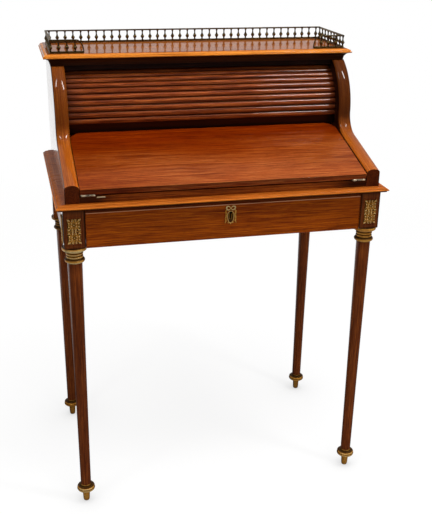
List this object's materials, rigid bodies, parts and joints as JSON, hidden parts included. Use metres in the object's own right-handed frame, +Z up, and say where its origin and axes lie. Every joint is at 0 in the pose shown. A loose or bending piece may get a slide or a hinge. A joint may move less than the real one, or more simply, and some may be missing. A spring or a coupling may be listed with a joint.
{
  "type": "writing desk",
  "caption": "Lady's writing desk on tapered turned legs, with a frieze drawer, a sloped flap that folds forward, a roll-up tambour and a pierced brass gallery.",
  "frame": {"origin": "on the floor, under the middle of the desk", "axes": "X to the desk's right as seen from its front, Y from its front to its back, Z up"},
  "size_m": [0.748, 0.471, 1.0698],
  "materials": {
    "mahogany": "polished",
    "dark_mahogany": "polished",
    "drawer_oak": "plain",
    "gilt_brass": "gilt",
    "old_brass": "patinated",
    "steel": "brushed",
    "leather": "smooth",
    "canvas": "plain weave"
  },
  "bodies": {
    "carcass": {"leg_front_left": "dark_mahogany", "leg_collar_front_left": "gilt_brass", "leg_foot_front_left": "gilt_brass", "leg_front_right": "dark_mahogany", "leg_collar_front_right": "gilt_brass", "leg_foot_front_right": "gilt_brass", "leg_back_left": "dark_mahogany", "leg_collar_back_left": "gilt_brass", "leg_foot_back_left": "gilt_brass", "leg_back_right": "dark_mahogany", "leg_collar_back_right": "gilt_brass", "leg_foot_back_right": "gilt_brass", "corner_plaque_front_left": "gilt_brass", "corner_plaque_side_left": "gilt_brass", "side_rail_left": "mahogany", "drawer_runner_left": "drawer_oak", "side_panel_left": "mahogany", "gallery_left": "old_brass", "hinge_leaf_bed_left": "gilt_brass", "flap_ledge_left": "mahogany", "corner_plaque_front_right": "gilt_brass", "corner_plaque_side_right": "gilt_brass", "side_rail_right": "mahogany", "drawer_runner_right": "drawer_oak", "side_panel_right": "mahogany", "gallery_right": "old_brass", "hinge_leaf_bed_right": "gilt_brass", "flap_ledge_right": "mahogany", "back_rail": "mahogany", "base_board": "mahogany", "writing_bed": "mahogany", "back_panel": "mahogany", "top_board": "mahogany", "top_front_rail": "mahogany", "pigeonhole_shelf": "mahogany", "pigeonhole_divider": "mahogany", "gallery_back": "old_brass"},
    "flap": {"writing_flap": "mahogany", "flap_leather": "leather", "hinge_leaf_flap_left": "gilt_brass", "hinge_leaf_flap_right": "gilt_brass"},
    "tambour": {"tambour_lead_rail": "dark_mahogany", "tambour_slat_1": "dark_mahogany", "tambour_slat_2": "dark_mahogany", "tambour_slat_3": "dark_mahogany", "tambour_slat_4": "dark_mahogany", "tambour_slat_5": "dark_mahogany", "tambour_slat_6": "dark_mahogany", "tambour_slat_7": "dark_mahogany", "tambour_slat_8": "dark_mahogany", "tambour_slat_9": "dark_mahogany", "tambour_canvas": "canvas"},
    "drawer": {"drawer_front": "mahogany", "drawer_side_left": "drawer_oak", "drawer_side_right": "drawer_oak", "drawer_back": "drawer_oak", "drawer_bottom": "drawer_oak", "keyhole_escutcheon": "gilt_brass", "drawer_lock_case": "steel"},
    "lock_bolt": {"drawer_lock_bolt": "steel"}
  },
  "joints": [
    {"name": "flap_fold", "type": "hinge", "parent": "carcass", "child": "flap", "pos_m": [0, -0.2187, 0.78455], "axis": [1, 0, 0], "range_deg": [0, 163]},
    {"name": "tambour_roll", "type": "hinge", "parent": "carcass", "child": "tambour", "pos_m": [0, 0.105, 0.8985], "axis": [-1, 0, 0], "range_deg": [0, 85]},
    {"name": "drawer_slide", "type": "slide", "parent": "carcass", "child": "drawer", "axis": [0, -1, 0], "range_m": [0, 0.26]},
    {"name": "lock_bolt_slide", "type": "slide", "parent": "drawer", "child": "lock_bolt", "axis": [0, 0, 1], "range_m": [0, 0.0085]}
  ]
}
